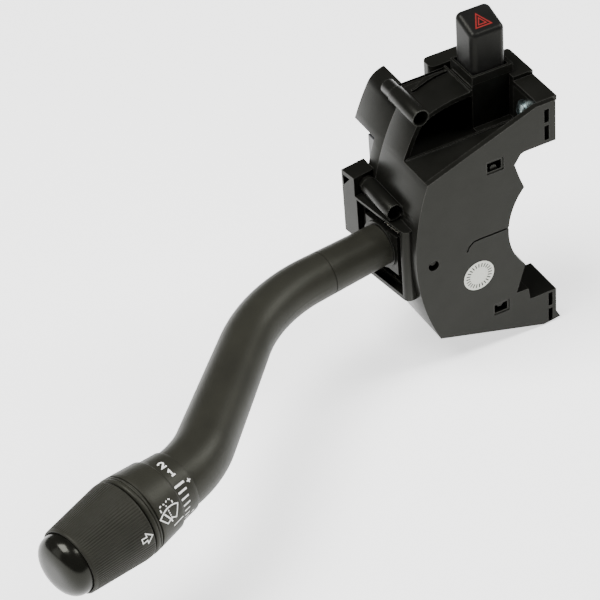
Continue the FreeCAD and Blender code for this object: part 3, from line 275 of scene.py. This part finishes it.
def radius_on(profile, along):
    """Radius of a turned surface at a distance along its axis."""
    points = sorted(profile)
    if along <= points[0][0]:
        return points[0][1]
    for (a0, r0), (a1, r1) in zip(points, points[1:]):
        if along <= a1:
            return r0 + (r1 - r0) * (along - a0) / (a1 - a0)
    return points[-1][1]


def on_knob(along, angle, radius):
    """Point near the knob's axis: millimetres along, degrees round, millimetres out."""
    a = math.radians(angle)
    out = KNOB_SIDE * math.cos(a) + KNOB_UP * math.sin(a)
    return KNOB_AT + KNOB_ALONG * (along * MM) + out * (radius * MM)


def circle(radius, count):
    """Flat points evenly round a circle."""
    turns = [2 * math.pi * i / count for i in range(count)]
    return [(radius * math.cos(a), radius * math.sin(a)) for a in turns]


def in_scene(name, data):
    """New object that shows the data."""
    thing = bpy.data.objects.new(name, data)
    bpy.context.scene.collection.objects.link(thing)
    return thing


def face_outward(mesh, weld=None):
    """Turns every face outward, after points closer than weld millimetres are joined."""
    work = bmesh.new()
    work.from_mesh(mesh)
    if weld is not None:
        bmesh.ops.remove_doubles(work, verts=work.verts, dist=weld * MM)
    bmesh.ops.recalc_face_normals(work, faces=work.faces)
    work.to_mesh(mesh)
    work.free()


def mesh_object(name, points, faces, smooth=None):
    """New object from points in metres. Edges flatter than smooth degrees are shaded smooth."""
    mesh = bpy.data.meshes.new(name)
    mesh.from_pydata([tuple(p) for p in points], [], faces)
    mesh.validate()
    face_outward(mesh)
    if smooth is not None:
        mesh.polygons.foreach_set("use_smooth", [True] * len(mesh.polygons))
        mesh.set_sharp_from_angle(angle=math.radians(smooth))
    return in_scene(name, mesh)


def add_slab(points, faces, low, high, closed=False):
    """Adds a four-sided slab between two rows of four points. Its low face is added if closed."""
    start = len(points)
    points += [*low, *high]
    faces.append((start + 4, start + 5, start + 6, start + 7))
    if closed:
        faces.append((start + 3, start + 2, start + 1, start))
    for i in range(4):
        j = (i + 1) % 4
        faces.append((start + i, start + j, start + 4 + j, start + 4 + i))


def dress(thing, material):
    """Gives an object its one material."""
    thing.data.materials.clear()
    thing.data.materials.append(material)


# Materials

def new_material(name):
    """Material with its node tree, its shader, and the place of a point on its own object."""
    material = bpy.data.materials.new(name)
    material.use_nodes = True
    tree = material.node_tree
    shader = tree.nodes["Principled BSDF"]
    place = tree.nodes.new("ShaderNodeTexCoord").outputs["Object"]
    return material, tree, shader, place


def noise(tree, size, detail, place):
    """Noise with patches of about size millimetres."""
    node = tree.nodes.new("ShaderNodeTexNoise")
    node.inputs["Scale"].default_value = 1.0 / (size * MM)
    node.inputs["Detail"].default_value = detail
    tree.links.new(place, node.inputs["Vector"])
    return node.outputs["Fac"]


def ramp(tree, value, low, high, from_low=0.3, from_high=0.7):
    """Maps one range of a value to another, and stays inside it."""
    node = tree.nodes.new("ShaderNodeMapRange")
    node.inputs["From Min"].default_value = from_low
    node.inputs["From Max"].default_value = from_high
    node.inputs["To Min"].default_value = low
    node.inputs["To Max"].default_value = high
    tree.links.new(value, node.inputs["Value"])
    return node.outputs["Result"]


def mix_colours(tree, share, a, b):
    """Colour between a and b, each a plain colour or a socket."""
    node = tree.nodes.new("ShaderNodeMix")
    node.data_type = "RGBA"
    tree.links.new(share, node.inputs["Factor"])
    for socket, colour in ((node.inputs[6], a), (node.inputs[7], b)):
        if isinstance(colour, tuple):
            socket.default_value = (*colour, 1.0)
        else:
            tree.links.new(colour, socket)
    return node.outputs[2]


def bump(tree, height, depth, before=None):
    """Normal of fine relief, depth millimetres deep, on top of an earlier one."""
    node = tree.nodes.new("ShaderNodeBump")
    node.inputs["Strength"].default_value = 1.0
    node.inputs["Distance"].default_value = depth * MM
    tree.links.new(height, node.inputs["Height"])
    if before is not None:
        tree.links.new(before, node.inputs["Normal"])
    return node.outputs["Normal"]


def painted_edge_highlight(tree):
    """Share from 0 to 1 of the painted edge highlight, which rises only along outward edges: where the normal
    of a rounded copy leaves the surface's own, and the mesh is convex."""
    geometry = tree.nodes.new("ShaderNodeNewGeometry")
    rounded = tree.nodes.new("ShaderNodeBevel")
    rounded.samples = 4
    rounded.inputs["Radius"].default_value = EDGE_HIGHLIGHT_REACH * MM
    same = tree.nodes.new("ShaderNodeVectorMath")
    same.operation = "DOT_PRODUCT"
    tree.links.new(rounded.outputs["Normal"], same.inputs[0])
    tree.links.new(geometry.outputs["True Normal"], same.inputs[1])
    near = ramp(tree, same.outputs["Value"], 1.0, 0.0, *HIGHLIGHT_BENDS)
    convex = ramp(tree, geometry.outputs["Pointiness"], 0.0, 1.0, *HIGHLIGHT_CONVEX)
    both = tree.nodes.new("ShaderNodeMath")
    both.operation = "MULTIPLY"
    tree.links.new(near, both.inputs[0])
    tree.links.new(convex, both.inputs[1])
    return both.outputs["Value"]


def moulded(name, dark, light, rough, grain, depth, blotch=9.0, edge=None, specular=0.28):
    """Moulded plastic: fine grain, faint colour drift, uneven gloss and a painted highlight along outward edges.
    """
    material, tree, shader, place = new_material(name)
    drift = noise(tree, blotch, 4.0, place)
    colour = mix_colours(tree, ramp(tree, drift, 0.0, 1.0), dark, light)
    # Painted highlight: outward edges are lightened towards the edge colour
    if edge is not None:
        colour = mix_colours(tree, painted_edge_highlight(tree), colour, edge)
    tree.links.new(colour, shader.inputs["Base Color"])
    fine = noise(tree, grain, 2.0, place)
    handled = noise(tree, blotch * GLOSS_PATCH, 3.0, place)
    low, high = (rough + change for change in PLASTIC_GLOSS)
    tree.links.new(ramp(tree, handled, low, high, 0.15, 0.85), shader.inputs["Roughness"])
    cells = tree.nodes.new("ShaderNodeTexVoronoi")
    cells.inputs["Scale"].default_value = 1.0 / (grain * CELL_SIZE * MM)
    tree.links.new(place, cells.inputs["Vector"])
    coarse = bump(tree, cells.outputs["Distance"], depth)
    tree.links.new(bump(tree, fine, depth * FINE_DEPTH, coarse), shader.inputs["Normal"])
    shader.inputs["Specular IOR Level"].default_value = specular
    shader.inputs["Specular Tint"].default_value = (*GLOSS_TINT, 1.0)
    return material


def metal(name, dark, light, rough, grain, depth=0.01):
    """Plated or drawn metal with fine relief and uneven gloss."""
    material, tree, shader, place = new_material(name)
    drift = noise(tree, METAL_PATCH, 5.0, place)
    colour = mix_colours(tree, ramp(tree, drift, 0.0, 1.0), dark, light)
    tree.links.new(colour, shader.inputs["Base Color"])
    low, high = (rough + change for change in METAL_GLOSS)
    tree.links.new(ramp(tree, drift, low, high), shader.inputs["Roughness"])
    relief = noise(tree, grain, 3.0, place)
    tree.links.new(bump(tree, relief, depth), shader.inputs["Normal"])
    shader.inputs["Metallic"].default_value = 1.0
    return material


def printed(name, colour, worn):
    """Printed ink with slightly uneven cover."""
    material, tree, shader, place = new_material(name)
    cover = noise(tree, INK_PATCH, 4.0, place)
    shade = mix_colours(tree, ramp(tree, cover, 0.0, 1.0, *INK_COVER), worn, colour)
    tree.links.new(shade, shader.inputs["Base Color"])
    tree.links.new(ramp(tree, cover, *INK_ROUGH), shader.inputs["Roughness"])
    tree.links.new(bump(tree, cover, INK_RELIEF), shader.inputs["Normal"])
    shader.inputs["Specular IOR Level"].default_value = INK_GLOSS
    return material


def floor_material():
    """White paper that glows."""
    material, tree, shader, place = new_material("floor_paper")
    drift = noise(tree, FLOOR_PATCH, 3.0, place)
    colour = mix_colours(tree, ramp(tree, drift, 0.0, 1.0), FLOOR_DARK, FLOOR_LIGHT)
    tree.links.new(colour, shader.inputs["Base Color"])
    shader.inputs["Roughness"].default_value = 0.9
    shader.inputs["Specular IOR Level"].default_value = 0.1
    shader.inputs["Emission Color"].default_value = (1.0, 1.0, 1.0, 1.0)
    shader.inputs["Emission Strength"].default_value = FLOOR_GLOW
    return material


def make_materials():
    """One material for each slot."""
    made = {}
    for maker, table in ((moulded, PLASTICS), (metal, METALS), (printed, INKS)):
        for slot, look in table.items():
            made[slot] = maker(slot, **look)
    return made


# CAD nodes

def dress_cad_nodes(materials):
    """Every CAD node gets its slot's material."""
    slots = {p["node"]: p["material_slot"] for p in frame["record"]["subparts"]}
    for name, thing in NODES.items():
        dress(thing, materials[slots[name]])


def round_edges():
    """Softens the sharp edges of the moulded CAD nodes."""
    for name, width in ROUNDED.items():
        thing = NODES[name]
        weld = thing.modifiers.new("weld", "WELD")
        weld.merge_threshold = WELD * MM
        bevel = thing.modifiers.new("rounded", "BEVEL")
        bevel.width = width * MM
        bevel.segments = ROUND_STEPS
        bevel.limit_method = "ANGLE"
        bevel.angle_limit = math.radians(ROUND_ANGLE)


# Printed marks

def divided(points, closed=False):
    """The points of a line with long runs divided, so that it can follow a round surface."""
    out = []
    for a, b in zip(points, points[1:] + (points[:1] if closed else [])):
        count = max(1, math.ceil(math.dist(a, b) / MARK_STEP))
        for i in range(count):
            out.append((a[0] + (b[0] - a[0]) * i / count, a[1] + (b[1] - a[1]) * i / count))
    if not closed:
        out.append(points[-1])
    return out


def stroke(points, width, closed=False):
    """Quads of an even line through flat points, as a list of four-point faces."""
    pts = divided(list(points), closed)
    count = len(pts)
    edges = []
    for i, p in enumerate(pts):
        here = Vector(p)
        before = here - Vector(pts[i - 1]) if (i or closed) else None
        after = Vector(pts[(i + 1) % count]) - here if (i + 1 < count or closed) else before
        arrive = (before or after).normalized()
        middle = (arrive + after.normalized()).normalized()
        reach = width / 2 / max(MITRE, middle.dot(arrive))
        nx, ny = -middle.y * reach, middle.x * reach
        edges.append(((p[0] + nx, p[1] + ny), (p[0] - nx, p[1] - ny)))
    runs = count if closed else count - 1
    return [(edges[i][0], edges[(i + 1) % count][0], edges[(i + 1) % count][1], edges[i][1])
            for i in range(runs)]


def wrapped_mark(name, quads, profile, body, material):
    """Thin printed mark on a turned surface. Flat points are (along, millimetres round)."""
    points, faces = [], []
    for quad in quads:
        rows = []
        for level in MARK_LEVELS:
            rows.append([on_knob(along, math.degrees(arc / MARK_RADIUS), radius_on(profile, along) + level)
                         for along, arc in quad])
        add_slab(points, faces, *rows, closed=True)
    thing = mesh_object(name, points, faces)
    dress(thing, material)
    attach(thing, body)


def rolled_out(points):
    """(along, angle) points as flat (along, millimetres round) points."""
    return [(along, math.radians(angle) * MARK_RADIUS) for along, angle in points]


def rolled_stroke(points, width, closed=False):
    """An even line through (along, angle) points."""
    return stroke(rolled_out(points), width, closed)


def numeral(kind, along, angle, height):
    """Strokes of a plain numeral. It reads from the tip towards the lever, and its top is at the
    larger angle."""
    middle = math.radians(angle) * MARK_RADIUS
    quads = []
    for path in NUMERALS[kind]:
        flat = [(along - (x - 0.5) * NUMERAL_WIDTH, middle + (y - 0.5) * height) for x, y in path]
        quads += stroke(flat, NUMERAL_LINE)
    return quads


def sleeve_marks(material):
    """Numerals, plus and minus signs, bars and the index line on the sleeve."""
    numerals, more, bars = [], [], []
    for place in SPEED_NUMERALS:
        numerals += numeral(*place)
    for line in MORE_SIGN:
        more += rolled_stroke(line, SIGN_LINE)
    for angle, start, end, width in BARS:
        bars += rolled_stroke([(start, angle), (end, angle)], width)
    for name, quads in (
        ("speed_numerals", numerals),
        ("more_sign", more),
        ("less_sign", rolled_stroke(LESS_SIGN, LESS_LINE)),
        ("interval_bars", bars),
        ("index_line", rolled_stroke(INDEX_LINE, SIGN_LINE)),
    ):
        wrapped_mark(name, quads, SLEEVE, "stalk", material)


def washer_symbol(material):
    """Windscreen, wiper and spray: the common washer sign."""
    quads = rolled_stroke(SIGN_WINDOW, SIGN_LINE, closed=True)
    quads += rolled_stroke(SIGN_BLADE, BLADE_LINE)
    dashes = divided(rolled_out(SIGN_SPRAY))
    for first, last in zip(dashes[::2], dashes[1::2]):
        quads += stroke([first, last], SIGN_LINE)
    for drop in SIGN_DROPS:
        quads += rolled_stroke(drop, SIGN_LINE)
    wrapped_mark("washer_sign", quads, SLEEVE, "stalk", material)


def knob_arrow(material):
    """Outlined arrow on the knob that points at the marks."""
    quads = rolled_stroke(ARROW, ARROW_LINE, closed=True)
    wrapped_mark("knob_arrow", quads, KNOB_PROFILE, "knob", material)


def button_top(x, y):
    """Height of the hazard button's sloping top, in millimetres."""
    return BUTTON_HEIGHT + BUTTON_RISE * (y - BUTTON_FRONT) / BUTTON_LENGTH


def hazard_triangle(material):
    """Two nested triangles, the common hazard sign, printed on the button's top."""
    points, faces = [], []
    cx, cy = BUTTON_AT
    for size, width in TRIANGLES:
        turns = [math.radians(90 + 120 * k) for k in range(3)]
        corners = [(cx + size * math.cos(a), cy + size * math.sin(a)) for a in turns]
        for quad in stroke(corners, width, closed=True):
            rows = [[Vector((x, y, button_top(x, y) + lift)) * MM for x, y in quad]
                    for lift in TRIANGLE_LEVELS]
            add_slab(points, faces, *rows)
    thing = mesh_object("hazard_triangle", points, faces)
    dress(thing, material)
    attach(thing, "hazard")


# Sticker

def sticker(material):
    """Round paper sticker on the plate."""
    cx, cz = STICKER_AT
    count = STICKER_SIDES
    points, faces = [], []
    for y, radius in ((0.0, STICKER_R), (-STICKER_THICK, STICKER_R - STICKER_SLOPE)):
        points += [((cx + a) * MM, y * MM, (cz + b) * MM) for a, b in circle(radius, count)]
    for i in range(count):
        j = (i + 1) % count
        faces.append((i, j, count + j, count + i))
    faces.append(tuple(range(2 * count - 1, count - 1, -1)))
    thing = mesh_object("round_sticker", points, faces)
    dress(thing, material)
    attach(thing, "housing")


def sticker_ticks(material):
    """Plain ring of short ticks printed on the sticker."""
    cx, cz = STICKER_AT
    points, faces = [], []
    for x, z in circle(1.0, STICKER_TICKS):
        out = Vector((x, 0, z))
        across = Vector((-z, 0, x))
        rows = [[(Vector((cx, y, cz)) + out * TICK_REACH[end] + across * side * TICK_HALF) * MM
                 for end, side in ((0, -1), (1, -1), (1, 1), (0, 1))] for y in TICK_LEVELS]
        add_slab(points, faces, *rows)
    thing = mesh_object("sticker_ticks", points, faces)
    dress(thing, material)
    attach(thing, "housing")


# Back of the cover

def rear_ribs(material):
    """Low stiffening ribs between the sockets on the cover's back."""
    y0, y1 = (COVER_BACK + level for level in RIB_LEVELS)
    half = RIB_WIDTH / 2
    boxes = [(RIBS_X[0], RIBS_X[-1], z - half, z + half) for z in RIBS_Z]
    boxes += [(x - half, x + half, RIBS_Z[0], RIBS_Z[-1]) for x in RIBS_X]
    points, faces = [], []
    for x0, x1, z0, z1 in boxes:
        rows = [[Vector(p) * MM for p in ((x0, y0, z), (x1, y0, z), (x1, y1, z), (x0, y1, z))]
                for z in (z0, z1)]
        add_slab(points, faces, *rows, closed=True)
    thing = mesh_object("rear_ribs", points, faces)
    dress(thing, material)
    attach(thing, "housing")


def recess_outline():
    """Corners of the cross recess."""
    w, r = RECESS_HALF, RECESS_REACH
    return ((w, r), (w, w), (r, w), (r, -w), (w, -w), (w, -r), (-w, -r), (-w, -w), (-r, -w), (-r, w),
            (-w, w), (-w, r))


def cover_screw(index, x, z, material):
    """Pan-head screw with a cross recess, seated on the cover's back."""
    head = bmesh.new()

    def ring(outline, rise):
        return [head.verts.new(((x + a) * MM, (COVER_BACK + rise) * MM, (z + b) * MM)) for a, b in outline]

    def wall(lower, upper):
        for i in range(len(lower)):
            j = (i + 1) % len(lower)
            head.faces.new((lower[i], lower[j], upper[j], upper[i]))

    rings = [ring(circle(radius, SCREW_SIDES), rise) for radius, rise in SCREW_RINGS]
    for lower, upper in zip(rings, rings[1:]):
        wall(lower, upper)
    head.faces.new(rings[0])
    rim, floor = (ring(recess_outline(), rise) for rise in (SCREW_RINGS[-1][1], RECESS_FLOOR))
    wall(rim, floor)
    head.faces.new(floor)
    open_edges = [e for e in head.edges if len(e.link_faces) == 1]
    bmesh.ops.triangle_fill(head, edges=open_edges, use_beauty=True)
    bmesh.ops.recalc_face_normals(head, faces=head.faces)
    mesh = bpy.data.meshes.new("cover_screw")
    head.to_mesh(mesh)
    head.free()
    thing = in_scene("cover_screw_%d" % index, mesh)
    dress(thing, material)
    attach(thing, "housing")


# Knob and push cap

def lathe(name, outline, count, smooth, cut=None):
    """Turned piece round the knob's axis. The outline is closed unless it starts on the axis."""
    points, faces = [], []
    for row in outline:
        for i in range(count):
            radius = row[1] - (cut(row, i) if cut else 0.0)
            points.append(on_knob(row[0], 360.0 * i / count, radius))
    rows = len(outline)
    starts_on_axis = outline[0][1] == 0
    for row in range(rows - 1 if starts_on_axis else rows):
        after = (row + 1) % rows
        for i in range(count):
            j = (i + 1) % count
            faces.append((row * count + i, row * count + j, after * count + j, after * count + i))
    return mesh_object(name, points, faces, smooth)


def ribbed_knob(material):
    """Turning knob with fine ribs and a smooth pad under its arrow."""
    steps = len(RIB_SHAPE)

    def groove(row, i):
        on_pad = row[0] <= PAD[0] and 360.0 * i / (RIBS * steps) < PAD[1]
        return 0.0 if on_pad else RIB_DEPTH * row[2] * RIB_SHAPE[i % steps]

    thing = lathe("ribbed_knob", KNOB_OUTSIDE + KNOB_INSIDE, RIBS * steps, KNOB_SMOOTH, groove)
    dress(thing, material)
    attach(thing, "knob")
    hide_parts("wiper_knob")


def smooth_cap(material):
    """Push cap with an evenly rounded dome."""
    outline = [(CAP_STEM[0], 0.0), CAP_STEM, (CAP_BACK, CAP_STEM[1]), (CAP_BACK, CAP_R)]
    for k in range(CAP_STEPS):
        a = math.radians(90.0 * k / CAP_STEPS)
        outline.append((CAP_RIM_AT + CAP_DOME * math.sin(a) ** CAP_CURVE[0],
                        CAP_R * math.cos(a) ** CAP_CURVE[1]))
    outline.append((CAP_RIM_AT + CAP_DOME, 0.0))
    thing = lathe("smooth_cap", outline, CAP_COUNT, CAP_SMOOTH)
    face_outward(thing.data, CAP_WELD)
    dress(thing, material)
    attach(thing, "washer")
    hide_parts("washer_button")


# Stage, light and camera

def stage():
    """Glowing floor just under the part."""
    low = cad_box[0].z - FLOOR_BELOW
    half = FLOOR_HALF
    corners = [(-half, -half, low), (half, -half, low), (half, half, low), (-half, half, low)]
    floor = mesh_object("floor", corners, [(0, 1, 2, 3)])
    floor.data.materials.append(floor_material())


def soft_light(name, place, size, power):
    """Rectangular light that looks at the part."""
    light = bpy.data.lights.new(name, "AREA")
    light.shape = "RECTANGLE"
    light.size, light.size_y = size
    light.energy = power
    thing = in_scene(name, light)
    thing.location = place
    thing.rotation_mode = "QUATERNION"
    thing.rotation_quaternion = (Vector(LIGHT_TARGET) - Vector(place)).to_track_quat("-Z", "Y")


def lights():
    """Dim grey room and the soft boxes."""
    world = bpy.data.worlds.new("studio")
    world.use_nodes = True
    room = world.node_tree.nodes["Background"]
    room.inputs["Color"].default_value = (ROOM_GREY, ROOM_GREY, ROOM_GREY, 1.0)
    room.inputs["Strength"].default_value = 1.0
    bpy.context.scene.world = world
    for box in SOFT_BOXES:
        soft_light(*box)


def camera():
    """Camera where the photograph was taken from."""
    data = bpy.data.cameras.new("camera")
    data.lens = CAMERA_LENS
    data.sensor_width = CAMERA_SENSOR
    data.clip_start, data.clip_end = CAMERA_CLIP
    thing = in_scene("camera", data)
    columns = (CAMERA_RIGHT, CAMERA_UP, CAMERA_BACK, EYE)
    rows = [[c[i] for c in columns] for i in range(3)] + [[0.0, 0.0, 0.0, 1.0]]
    thing.matrix_world = Matrix(rows)
    bpy.context.scene.camera = thing


def build():
    """Dresses the CAD nodes and adds every piece."""
    materials = make_materials()
    dress_cad_nodes(materials)
    round_edges()
    ribbed_knob(materials["knob_black"])
    smooth_cap(materials["cap_gloss"])
    sleeve_marks(materials["mark_white"])
    washer_symbol(materials["mark_white"])
    knob_arrow(materials["mark_white"])
    sticker(materials["sticker_white"])
    sticker_ticks(materials["housing_black"])
    hazard_triangle(materials["hazard_red"])
    rear_ribs(materials["housing_black"])
    for index, (x, z) in enumerate(COVER_SCREWS):
        cover_screw(index + 1, x, z, materials["zinc"])


camera()
stage()
lights()
build()
